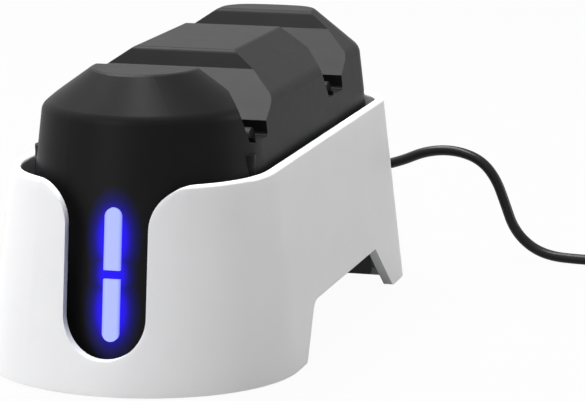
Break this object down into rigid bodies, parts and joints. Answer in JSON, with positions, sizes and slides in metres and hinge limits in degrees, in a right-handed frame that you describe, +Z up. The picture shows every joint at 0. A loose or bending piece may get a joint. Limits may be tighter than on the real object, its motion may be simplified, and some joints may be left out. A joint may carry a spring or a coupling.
{
  "type": "controller charging dock",
  "caption": "Long desk dock with a pale drafted sleeve round a dark cradle, lean-back bays that hold and charge game controllers, front light bars and a rear supply cord.",
  "frame": {"origin": "on the table, under the middle of the dock without its cord", "axes": "+X across the dock, +Y from the nose with the light bars to the rear wall, +Z up"},
  "size_m": [0.1858, 0.2018, 0.0803],
  "materials": {
    "pale_shell": "satin moulded",
    "dark_cradle": "fine matt grain",
    "dark_plate": "matt moulded",
    "foot_rubber": "matt",
    "light_diffuser": "lit milky diffuser",
    "led_package": "moulded package",
    "circuit_board": "solder-masked laminate",
    "chip_case": "moulded package",
    "header_case": "moulded nylon",
    "screw_steel": "plated",
    "contact_block": "moulded",
    "contact_metal": "gold-coloured plating",
    "cord_sheath": "smooth satin sheath",
    "plug_metal": "plated"
  },
  "bodies": {
    "root": {"outer_shell": "pale_shell", "cradle_housing": "dark_cradle", "base_plate": "dark_plate", "housing_screws": "screw_steel", "front_left_foot": "foot_rubber", "front_right_foot": "foot_rubber", "rear_left_foot": "foot_rubber", "rear_right_foot": "foot_rubber", "upper_light_bar": "light_diffuser", "lower_light_bar": "light_diffuser", "led_board": "circuit_board", "upper_leds": "led_package", "lower_leds": "led_package", "led_board_screws": "screw_steel", "charging_board": "circuit_board", "board_screws": "screw_steel", "front_charge_chip": "chip_case", "rear_charge_chip": "chip_case", "front_inductor": "chip_case", "rear_inductor": "chip_case", "cord_header": "header_case", "front_contact_block": "contact_block", "rear_contact_block": "contact_block", "front_contacts": "contact_metal", "rear_contacts": "contact_metal", "cord_gland": "cord_sheath", "power_cord": "cord_sheath", "cord_coil": "cord_sheath", "plug_grip": "cord_sheath", "plug_shroud": "plug_metal", "plug_carrier": "header_case"}
  },
  "joints": []
}
